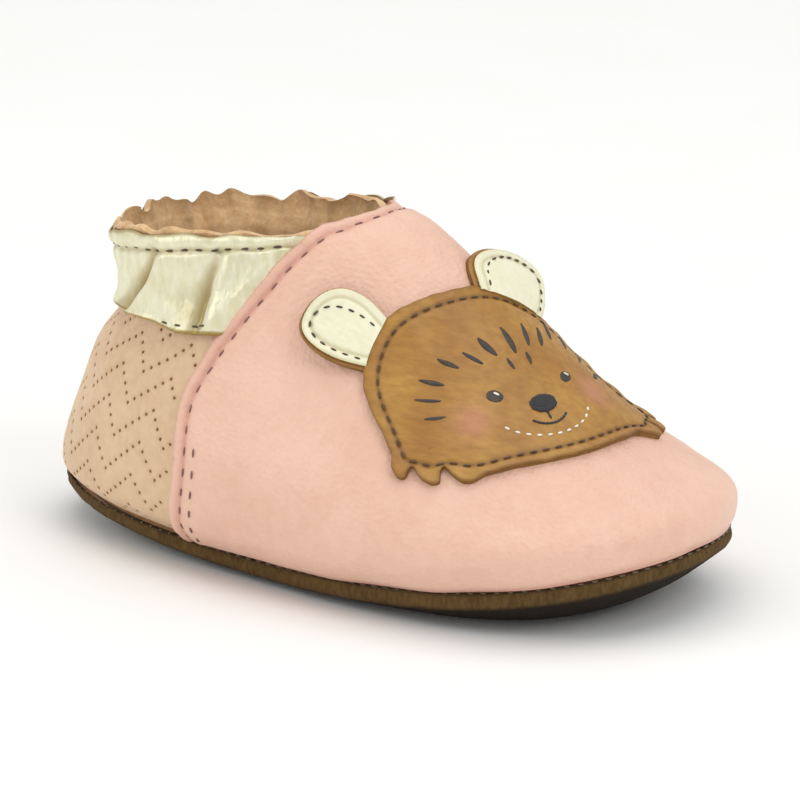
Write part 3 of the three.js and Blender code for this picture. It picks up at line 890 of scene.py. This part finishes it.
def make_lining():
    """Suede inside of the upper: it follows the band at the collar, and stands above it."""
    angle, share = np.meshgrid(np.linspace(0, 2 * math.pi, 481)[:-1], np.linspace(0, 1, 101))
    degrees = np.degrees(angle)
    at_band = clamp((np.minimum(degrees, 360 - degrees) - 44) / 14)
    rise = mix(LAYER_FOOT, 1.0, share)
    lowest = band_foot(heel_share(angle))
    up_band = clamp((rise - lowest) / (1 - lowest))
    outside, higher = collar_face(degrees, up_band)
    joined_up = clamp((up_band - 0.72) / 0.22) ** 1.5 * at_band
    phase = 17 * angle + 2.0 * np.sin(2 * angle)
    wrinkle = 0.45 * np.sin(phase + 3 * share) + 0.3 * np.sin(31 * angle + 9 * share)
    wrinkle += 0.35 * rolling(angle, rise, LINING_SPANS, 17, 8)
    face = mix(UPPER_FACE - 0.55, outside - 0.95, joined_up)
    crumpled = clamp((share - 0.45) / 0.4) * mix(0.35, 1.0, at_band)
    back = mix(UPPER_BACK, outside - 1.9, joined_up) + 0.75 * wrinkle * crumpled
    back = np.minimum(back, face - 0.5)
    to_vamp = (VAMP_BACK - UPPER_FACE + 0.75) * (1 - at_band) * clamp((share - 0.86) / 0.12)
    face = face + to_vamp
    back = back + 0.8 * to_vamp - 1.3 * clamp(1 - share / 0.07)
    rise = rise + higher * at_band + joined_up**2 * (0.014 + 0.006 * np.sin(phase * 1.7 + 1.0))
    face = face - rounded_edge((1 - share) * COLLAR_TALL, 0.45)
    # Painted shade along a line near the band's top and in the wrinkle troughs
    painted_shade = 0.35 * bump(up_band - 0.9, 0.03) * at_band + 0.45 * clamp(-wrinkle) * crumpled
    made = sheet_body(
        "lining_suede", shell_point(angle, rise, face), shell_point(angle, rise, back), [LINING_SUEDE],
        closed=True, attributes={"painted_shade": clamp(painted_shade)},
    )
    settle(made, "lining_suede", "upper")


# Sole and footbed

SOLE_FLAT = 0.7
SOLE_THICK = 2.4
SOLE_EDGE = {"back": 2.0, "side": 3.2, "front": 2.8}
SOLE_OVERHANG = 0.2
INSOLE_REACH = 0.93
INSOLE_BACK = 0.35
INSOLE_FACE = 1.55


def curl(share):
    return np.maximum(0, (share - SOLE_FLAT) / (1 - SOLE_FLAT)) ** 1.8


def sole_under(angle, share):
    rim = round_the_shoe(*(SEAM_HEIGHT[part] - SOLE_EDGE[part] for part in SOLE_EDGE), angle)
    return rim * curl(share)


def sole_top(angle, share):
    edge = round_the_shoe(*SOLE_EDGE.values(), angle) - 0.35
    return sole_under(angle, share) + mix(SOLE_THICK, edge, curl(share))


def sole_point(angle, share, height, overhang=0.0):
    flat = last_point(angle, 0) * np.array([1, 1, 0])
    point = flat * share + unit(flat) * np.asarray(overhang, float)[..., None]
    point[..., 2] = height
    return point


def ring_solid(name, rows, bottom, top, materials, attributes, other_rows=()):
    """Closed body from rings of points, with a point in the middle of each end.

    The faces above the other rows take the second material.
    """
    count, around = rows.shape[:2]
    index, quads = grid_quads(count, around, True)
    low, high = count * around, count * around + 1
    ends = [(low, int(b), int(a)) for a, b in zip(index[0], index[0][1:])]
    ends += [(high, int(a), int(b)) for a, b in zip(index[-1], index[-1][1:])]
    points = np.concatenate([rows.reshape(-1, 3), [bottom, top]])
    faces = quads.tolist() + ends
    slots = np.zeros(len(faces), int)
    for row in other_rows:
        slots[row * around:(row + 1) * around] = 1
    values = {key: np.append(np.ravel(value), [0, 0]) for key, value in attributes.items()}
    return flat_mesh(name, points, faces, materials, slots, values)


def make_outsole():
    """Suede sole whose rim curls up to where the upper is sewn on, with a softly uneven cut edge and
    painted shadow on its underside.
    """
    angle = np.linspace(0, 2 * math.pi, 481)[:-1]
    under = np.concatenate([np.linspace(0.06, SOLE_FLAT, 14), np.linspace(SOLE_FLAT, 0.985, 18)[1:]])
    edge = np.linspace(0, 1, 11)
    rows, painted_shade = [], []
    along = angle * 40
    wobble = 0.2 * smooth_noise(along, 0 * angle, 21, 14) + 0.07 * smooth_noise(along, 0 * angle, 22, 3)
    for share in under:
        rows.append(sole_point(angle, share, sole_under(angle, share), wobble * curl(share)))
        # Painted shadow over the whole underside
        painted_shade.append(0.95 + 0 * angle)
    for step in edge:
        bulge = 0.75 * math.sin(math.pi * mix(0.12, 0.9, step))
        height = mix(sole_under(angle, 1), sole_top(angle, 1) + 0.15, step)
        rows.append(sole_point(angle, 1, height, SOLE_OVERHANG + bulge - 0.45 + wobble))
        # Painted shade along the foot of the edge and in the crease at its top
        painted_shade.append(0.55 * bump(step, 0.12) + 0.95 * bump(step - 1, 0.1) + 0 * angle)
    for share in under[::-1]:
        rows.append(sole_point(angle, share, sole_top(angle, share)))
        # Painted shade round the rim of the top
        painted_shade.append(0.4 * bump(share - 1, 0.05) + 0 * angle)
    lined = range(len(under) + len(edge), len(rows) - 1)
    made = ring_solid(
        "outsole_suede", np.array(rows), (0, 0, 0), (0, 0, SOLE_THICK), [SOLE_SUEDE, LINING_SUEDE],
        {"painted_shade": np.array(painted_shade)}, lined,
    )
    settle(made, "brown_suede", "outsole")
    angle = np.linspace(0, 2 * math.pi, 2000)
    points = sole_point(angle, 1, sole_top(angle, 1) + 0.12, SOLE_OVERHANG - 0.1)
    outwards = unit(last_point(angle, 0) * np.array([1, 1, 0])) + np.array([0, 0, 0.6])
    rows = [spaced(points, unit(outwards), 2.3)]
    made = sewn("sole_seam_stitches", rows, 1.5, 0.36, 0.34, THREAD["sole"])
    settle(made, "brown_suede")


def make_insole():
    """Thin suede footbed, lying in the curl of the sole."""
    angle = np.linspace(0, 2 * math.pi, 181)[:-1]
    shares = np.concatenate([np.linspace(0.08, SOLE_FLAT, 10), np.linspace(SOLE_FLAT, INSOLE_REACH, 8)[1:]])
    rows = []
    for share in shares:
        rows.append(sole_point(angle, share, sole_top(angle, share) + INSOLE_BACK))
    for share in shares[::-1]:
        rounding = rounded_edge((INSOLE_REACH - share) * 30, 0.5)
        soft = 0.12 * smooth_noise(share * np.cos(angle) * 55, share * np.sin(angle) * 25, 31, 18)
        rows.append(sole_point(angle, share, sole_top(angle, share) + INSOLE_FACE - rounding + soft))
    rows = np.array(rows)
    bottom, top = (0, 0, SOLE_THICK + INSOLE_BACK), (0, 0, SOLE_THICK + INSOLE_FACE)
    made = ring_solid(
        "insole_suede", rows, bottom, top, [LINING_SUEDE], {"painted_shade": np.zeros(rows.shape[:2])}
    )
    settle(made, "lining_suede", "insole")


# Head patch

PATCH_MIDDLE = 0.575

# The patch's cut edge, as degrees from its middle and rise: from the middle of the
# chin to the crown on the wearer's left and on the right. Three tufts hang at each cheek.
LEFT_EDGE = [
    (0, 0.404), (9, 0.408), (19, 0.404), (23, 0.39), (26.6, 0.367), (28.6, 0.366), (30, 0.385),
    (30.6, 0.404), (32, 0.392), (33.6, 0.365), (35.4, 0.358), (37, 0.373), (37.2, 0.405),
    (38.6, 0.395), (40, 0.375), (41.4, 0.375), (41.6, 0.4), (41.2, 0.436), (41.2, 0.49),
    (41.6, 0.54), (41.4, 0.59), (40, 0.625), (36.6, 0.656), (31, 0.684), (24, 0.709),
    (16, 0.729), (8, 0.739), (0, 0.744),
]
RIGHT_EDGE = [
    (0, 0.404), (-9, 0.402), (-21, 0.396), (-28.5, 0.382), (-32.6, 0.362), (-34.4, 0.362), (-35.4, 0.382),
    (-35.8, 0.408), (-37.4, 0.392), (-38.9, 0.362), (-40.8, 0.356), (-42.2, 0.372), (-42.2, 0.409),
    (-43.6, 0.396), (-45.2, 0.372), (-46.9, 0.372), (-46.8, 0.4), (-45.2, 0.436), (-44.6, 0.49),
    (-44.9, 0.54), (-44.4, 0.6), (-42.0, 0.643), (-36.5, 0.695), (-30.5, 0.726), (-22.5, 0.742),
    (-12, 0.747),
]


def patch_edge(ease, step=0.35):
    """Angle and rise round the patch, anticlockwise from the chin, with its corners eased."""
    whole = np.array(LEFT_EDGE + RIGHT_EDGE[:0:-1], float)
    spots = np.radians(PATCH_TURN + whole[:, 0])
    angle, rise = np.append(spots, spots[0]), np.append(whole[:, 1], whole[0, 1])
    run = run_along(last_point(angle, rise))
    places = np.linspace(0, run[-1], int(run[-1] / step), endpoint=False)
    reach = int(4 * ease / step) + 1
    weights = np.exp(-0.5 * (np.arange(-reach, reach + 1) * step / ease) ** 2)
    eased = []
    for values in (angle, rise):
        row = np.interp(places, run, values)
        row = np.concatenate([row[-reach:], row, row[:reach]])
        eased.append(np.convolve(row, weights / weights.sum(), "valid"))
    return eased


def on_patch(x_mm, y_mm):
    """Angle and rise of a place given in millimetres from the middle of the patch."""
    return on_surface(x_mm, y_mm, (PATCH_TURN, 0.565))


CHEEKS = [(-12.2, -5.6), (12.2, -5.6)]
PATCH_SEAM = 1.75


def patch_stitch_line():
    angle, rise = patch_edge(3.0)
    return inset(angle, rise, PATCH_SEAM + 0.2, closed=True)


def make_patch():
    """Tan patch with tufted cheeks, sewn down inside its cut edge."""
    rim_angle, rim_rise = patch_edge(0.38)
    field_angle, field_rise = patch_edge(2.6)
    field_angle, field_rise = inset(field_angle, field_rise, 3.0, closed=True)
    places = []
    for share in 1 - np.linspace(0, 1, 15) ** 1.5:
        places.append((mix(field_angle, rim_angle, share), mix(field_rise, rim_rise, share)))
    for share in np.linspace(1, 0.03, 26)[1:]:
        places.append((
            mix(math.radians(PATCH_TURN), field_angle, share), mix(PATCH_MIDDLE, field_rise, share)
        ))
    angle, rise = (np.array([place[i] for place in places]) for i in range(2))
    surface = last_point(angle, rise)
    to_edge = nearest(surface, last_point(rim_angle, rim_rise))
    to_seam = nearest(surface, last_point(*patch_stitch_line()))
    face = np.full(angle.shape, PATCH_BACK + PATCH_THICK) - rounded_edge(to_edge, 0.35)
    face += 0.12 * rolling(angle, rise, PATCH_SPANS, 14, 12)
    face += 0.05 * rolling(angle, rise, PATCH_SPANS, 15, 4)
    face -= 0.3 * bump(to_seam, 0.5)
    face += 0.16 * bump(to_edge, 0.9) * (1 + np.sin(angle * 50) * np.sin(rise * 90))
    tint_and_shade = np.zeros(angle.shape)
    for x_mm, y_mm in CHEEKS:
        spot = last_point(*on_patch(x_mm, y_mm))
        tint_and_shade = np.maximum(tint_and_shade, 0.6 * bump(np.linalg.norm(surface - spot, axis=-1), 3.0))
    # Painted shade in the stitch groove and along the cut edge; the cheeks' pink tint is real colour
    painted_shade = clamp(0.6 * bump(to_seam, 0.4) + 0.5 * bump(to_edge, 0.4))
    under_rows = [*range(len(places) - 1, 3, -4), 0]
    rows = [shell_point(angle[i], rise[i], PATCH_BACK) for i in under_rows]
    under = len(rows)
    rows += list(shell_point(angle, rise, face))
    filler = np.zeros((under, angle.shape[1]))
    middle_angle, middle_rise = np.array([math.radians(PATCH_TURN)] * 2), np.array([PATCH_MIDDLE] * 2)
    bottom, top = shell_point(middle_angle, middle_rise, np.array([PATCH_BACK, face[-1].mean()]))
    made = ring_solid(
        "head_patch_leather", np.array(rows), bottom, top, [TAN, TAN_EDGE],
        {"painted_shade": np.vstack([filler, painted_shade]), "tint_and_shade": np.vstack([filler, tint_and_shade])}, (under - 1,),
    )
    settle(made, "tan_leather", "head_patch")


def patch_stitches():
    """Brown topstitch inside the outline, straight past the tufts."""
    angle, rise = patch_stitch_line()
    angle, rise = np.append(angle, angle[0]), np.append(rise, rise[0])
    rows = [resample(angle, rise, 2.25, PATCH_BACK + PATCH_THICK - 0.08)]
    made = sewn("head_patch_stitches", rows, 1.45, 0.38, 0.36, THREAD["tan"])
    settle(made, "tan_leather")


# Face printed and embroidered on the patch

PRINT_FOOT = PATCH_BACK + PATCH_THICK - 0.05
PRINT_TOP = PATCH_BACK + PATCH_THICK + 0.12


def brush_stroke(path, widths, columns=5):
    """Closed ribbon of ink along a path of patch millimetres."""
    path = np.asarray(path, float)
    forward = unit(np.gradient(path, axis=0))
    side = np.stack([-forward[:, 1], forward[:, 0]], -1)
    spread = np.linspace(-0.5, 0.5, columns)
    places = path[None] + side[None] * (spread[:, None] * np.asarray(widths)[None])[..., None]
    angle, rise = on_patch(places[..., 0], places[..., 1])
    crown = PRINT_TOP - (PRINT_TOP - PRINT_FOOT) * (np.abs(spread)[:, None] * 2) ** 4 + 0 * angle
    return shell_point(angle, rise, crown), shell_point(angle, rise, PRINT_FOOT - 0.1)


def arc(centre, radii, start, end, count=14, tilt=0.0):
    """Points along part of an ellipse, in patch millimetres."""
    turn = np.radians(np.linspace(start, end, count))
    x, y = radii[0] * np.cos(turn), radii[1] * np.sin(turn)
    lean = math.radians(tilt)
    return np.stack([
        centre[0] + x * math.cos(lean) - y * math.sin(lean),
        centre[1] + x * math.sin(lean) + y * math.cos(lean),
    ], -1)


def joined(name, bodies, material):
    """One mesh from many closed ribbons."""
    points, faces, start = [], [], 0
    for face, back in bodies:
        faces.append(sheet_faces(*face.shape[:2])[0] + start)
        points += [back.reshape(-1, 3), face.reshape(-1, 3)]
        start += 2 * face[..., 0].size
    return flat_mesh(name, np.concatenate(points), np.concatenate(faces), [material], crease=80)


# Flecks: foot in patch millimetres, heading in degrees, length and width
FLECKS = [
    (0.0, 5.4, 90, 5.2, 1.5), (3.1, 6.0, 72, 4.2, 1.3), (5.9, 5.2, 56, 3.6, 1.2),
    (1.6, 2.9, 82, 2.3, 0.9), (9.7, 5.4, 48, 3.4, 1.2), (13.2, 2.6, 28, 3.6, 1.3),
    (15.0, -0.6, 12, 3.8, 1.3), (15.6, -4.0, -4, 3.4, 1.2),
]
EYES = [(-7.0, -1.2), (7.0, -1.2)]
NOSE = (0.0, -4.4)


def make_face_print():
    """A plain cub's face: tapered flecks that fan out evenly, and two round eyes."""
    bodies = []
    for x_mm, y_mm, heading, length, width in FLECKS:
        for side in (-1, 1) if x_mm else (1,):
            along = np.linspace(0, 1, 18)
            turn = np.radians(heading + 14 * (along - 0.5))
            step = length / 17
            path = np.stack([
                side * (x_mm + np.cumsum(np.cos(turn)) * step),
                y_mm + np.cumsum(np.sin(turn)) * step,
            ], -1)
            bodies.append(brush_stroke(path, width * np.sin(math.pi * (0.06 + 0.9 * along)) ** 0.7))
    for x_mm, y_mm in EYES:
        across = np.linspace(-0.99, 0.99, 18)
        path = np.stack([1.3 * across + x_mm, np.full(18, y_mm)], -1)
        bodies.append(brush_stroke(path, 2.6 * np.sqrt(1 - across**2), 9))
    settle(joined("face_print", bodies, SPOT_INK), "tan_leather")


def patch_row(path, pitch, offset):
    """Stitch places along a path of patch millimetres."""
    angle, rise = on_patch(path[:, 0], path[:, 1])
    return resample(angle, rise, pitch, offset)


def make_face_stitches():
    """Oval nose in satin stitch, a plain smile, and a pale running stitch round them."""
    top = PATCH_BACK + PATCH_THICK + 0.06
    rows = []
    for step in np.linspace(-0.94, 0.94, 15):
        high = 1.45 * math.sqrt(1 - step**2)
        middle = np.array([NOSE[0] + 2.3 * step, NOSE[1]])
        path = np.linspace(middle + (0, high), middle - (0, high), 9)
        rows.append(patch_row(path, 0.55, top + 0.08))
    settle(sewn("face_nose_stitches", rows, 1.3, 0.42, 0.42, THREAD["black"]), "tan_leather")
    lines = [np.linspace((0, -5.8), (0, -7.6), 12), arc((0, -4.6), (4.2, 3.9), 222, 318, 30)]
    rows = [patch_row(line, 0.72, top) for line in lines]
    settle(sewn("face_smile_stitches", rows, 0.98, 0.44, 0.4, THREAD["black"]), "tan_leather")
    rows = [patch_row(arc((0, -5.6), (8.6, 5.2), 198, 342, 60), 1.7, top)]
    for x_mm, y_mm in EYES:
        glint = np.array([(x_mm + 0.3, y_mm + 0.5), (x_mm + 0.5, y_mm + 0.3)])
        rows.append(patch_row(glint, 3.0, top + 0.1))
    settle(sewn("face_pale_stitches", rows, 0.95, 0.4, 0.34, THREAD["white"]), "tan_leather")


# Ears, rooted on the patch's outline between two shares of the rise
EAR_TUCK = 0.5
EAR_SINK = 0.65
EAR_BACKING = 1.3
EAR_FACING = 0.65
EAR_BORDER = 0.45
EAR_SEAM = 1.5
# Root of each ear as degrees from the patch's middle and rise, low end and high end
EARS = {
    "right": {
        "mirror": -1, "long": 13.2, "stand": 3, "lean": 7, "full": 1.3, "bow": 2.0,
        "root": ((-42.0, 0.641), (-28.5, 0.733)),
    },
    "left": {
        "mirror": 1, "long": 11.4, "stand": 15, "lean": -9, "full": 1.14, "bow": 3.0,
        "root": ((37.5, 0.648), (8.5, 0.737)),
    },
}


def ear_surface(side):
    """Gives a function for points on an ear, which stands on the patch's outline."""
    ear = EARS[side]
    (low_turn, low_rise), (high_turn, high_rise) = ear["root"]

    def root(share, offset=0.0):
        bow = ear["mirror"] * ear["bow"] * (1 - (2 * share - 1) ** 2)
        turn = PATCH_TURN + mix(low_turn, high_turn, share) + bow
        return shell_point(np.radians(turn), mix(low_rise, high_rise, share), offset)

    low, high = root(np.array([0.0, 1.0]))
    middle = np.array([0.5])
    normal = (root(middle, 1.0) - root(middle))[0]
    half_wide = np.linalg.norm(high - low) / 2
    uphill = (high - low) - ((high - low) @ normal) * normal
    uphill /= np.linalg.norm(uphill)
    outwards = np.cross(uphill, normal) * ear["mirror"]
    lean, stand = math.radians(ear["lean"]), math.radians(ear["stand"])
    heading = outwards * math.cos(lean) + uphill * math.sin(lean)
    reach = heading * math.cos(stand) + normal * math.sin(stand)

    def place(across, along, height, border=0.0, lifted=0.0):
        """A point at a height over the ear's back, across from -1 to 1, along to its tip."""
        swell = 1 + (ear["full"] - 1) * np.sin(math.pi * along)
        tip = ear["full"] * np.maximum(0, 1 - np.abs(2 * along - 1) ** 2.3) ** (1 / 2.3)
        width = across * np.where(along < 0.5, swell, tip) * (1 - border / half_wide)
        share = 0.5 + 0.5 * (width + lifted * border / half_wide)
        local = root(share, 1.0) - root(share)
        facing = local * math.cos(stand) - heading * math.sin(stand)
        cupped = height + 0.7 * along**2 * width**2 - 0.25 * np.sin(math.pi * along)
        cupped = cupped - EAR_SINK * clamp(1 - along / 0.35) ** 2
        out = along * (ear["long"] - border) - EAR_TUCK
        return root(share, PATCH_BACK + 0.3) + reach * out[..., None] + facing * cupped[..., None]

    return place


def make_ear(side):
    """One ear: tan backing and pale gold facing, sewn together inside their edge."""
    place = ear_surface(side)
    mirror = EARS[side]["mirror"]
    across, along = np.meshgrid(np.linspace(mirror, -mirror, 73), np.sin(np.linspace(0, math.pi / 2, 61)))
    line = np.sin(np.linspace(0, math.pi / 2, 160))
    rim_along = np.concatenate([line, line[::-1]])
    rim_across = np.repeat([1.0, -1.0], len(line))
    layers = (
        ("backing", 0.0, 0.0, EAR_BACKING, [TAN, TAN_EDGE], "tan_leather"),
        ("facing", EAR_BORDER, EAR_BACKING + 0.05, EAR_FACING, [FLAT_GOLD, GOLD_EDGE], "gold_leather"),
    )
    for label, border, foot, thick, materials, slot in layers:
        lifted = 0.9 if side == "right" and border else 0.0
        rim = place(rim_across, rim_along, 0 * rim_along, border, lifted)
        to_edge = nearest(place(across, along, 0 * along, border, lifted), rim)
        height = foot + thick - rounded_edge(to_edge, 0.35) - 0.2 * bump(to_edge - EAR_SEAM, 0.4)
        height += 0.08 * smooth_noise(across * 6, along * 13, 41, 5)
        # Painted shade in the stitch groove and along the cut edge
        painted_shade = 0.45 * bump(to_edge - EAR_SEAM, 0.32) + 0.25 * bump(to_edge, 0.5)
        made = sheet_body(
            f"ear_{label}_{side}_leather", place(across, along, height, border, lifted),
            place(across, along, foot + 0 * height, border, lifted), materials,
            attributes={"painted_shade": clamp(painted_shade), "tint_and_shade": 0 * painted_shade},
        )
        settle(made, slot, f"ear_{label}_{side}")
    up, down = line[6:], line[-2:5:-1]
    sewn_along = np.concatenate([up, down])
    sewn_across = np.repeat([1.0, -1.0], [len(up), len(down)])
    height = np.full(len(sewn_along), EAR_BACKING + EAR_FACING - 0.02)
    points = place(sewn_across, sewn_along, height, EAR_BORDER + EAR_SEAM)
    above = place(sewn_across, sewn_along, height + 1, EAR_BORDER + EAR_SEAM)
    rows = [spaced(points, unit(above - points), 2.1)]
    made = sewn(f"ear_stitches_{side}", rows, 1.2, THREAD_THICK, 0.36, THREAD["dark"])
    settle(made, "gold_leather")


for make_piece in (
    make_outsole, make_insole, make_lining, make_heel_panel, make_heel_holes, make_vamp, vamp_stitches,
    make_band, band_stitches, make_patch, patch_stitches, make_face_print, make_face_stitches,
):
    make_piece()
for ear_side in EARS:
    make_ear(ear_side)


# Studio: pale floor, one wide soft light overhead and two low fills

def make_floor():
    half = 4.0
    mesh = bpy.data.meshes.new("floor")
    corners = [(-half, -half, 0), (half, -half, 0), (half, half, 0), (-half, half, 0)]
    mesh.from_pydata(corners, [], [(0, 1, 2, 3)])
    mesh.materials.append(finish(
        "White paper floor", ("#F6F6F4", "#F8F8F7"), ("#F8F8F8", 0.2), "#F0F0F0", 60, 1.5, 1.0, 1.0,
        (1.0, 0.0, 0.0), (0.75, 0.85), 0.02, strength=0.2,
    ))
    floor = placed("floor", mesh)


def area_light(name, place, aim, size, power, tint):
    data = bpy.data.lights.new(name, "AREA")
    data.shape = "RECTANGLE"
    data.size, data.size_y = size
    data.energy = power
    data.color = colour(tint)[:3]
    lamp = placed(name, data)
    lamp.location = place
    lamp.rotation_euler = (Vector(aim) - Vector(place)).to_track_quat("-Z", "Y").to_euler()


def make_lights():
    world = bpy.data.worlds.new("studio")
    bpy.context.scene.world = world
    world.use_nodes = True
    backdrop = world.node_tree.nodes["Background"]
    backdrop.inputs["Color"].default_value = colour("#FBFBFA")
    backdrop.inputs["Strength"].default_value = 0.67
    middle = (0.0, 0.0, 0.03)
    area_light("overhead_softbox", (0.1, 0.3, 2.2), (0.0, 0.3, 0.0), (2.4, 2.4), 20.5, "#FFFFFF")
    area_light("left_softbox", (-0.6, -0.6, 0.5), middle, (0.5, 0.5), 1.7, "#FFFDFA")
    area_light("toe_softbox", (0.95, -0.25, 0.85), middle, (0.5, 0.5), 3.2, "#FFFFFF")


# Camera at the photograph's angle to the shoe, aimed at the one shoe
CAMERA_AZIMUTH = 33.3
CAMERA_ELEVATION = 16.5
CAMERA_DISTANCE = 0.646
CAMERA_AIM = (0.004, 0.002, 0.0282)
CAMERA_LENS = 169.0


def make_camera():
    azimuth, elevation = math.radians(CAMERA_AZIMUTH), math.radians(CAMERA_ELEVATION)
    back = Vector((
        math.sin(azimuth) * math.cos(elevation),
        -math.cos(azimuth) * math.cos(elevation),
        math.sin(elevation),
    ))
    data = bpy.data.cameras.new("camera")
    data.lens = CAMERA_LENS
    data.clip_start = 0.01
    data.clip_end = 20
    camera = placed("camera", data)
    camera.location = Vector(CAMERA_AIM) + back * CAMERA_DISTANCE
    camera.rotation_euler = (-back).to_track_quat("-Z", "Y").to_euler()
    bpy.context.scene.camera = camera


make_floor()
make_lights()
make_camera()
bpy.context.scene.view_settings.view_transform = "Standard"
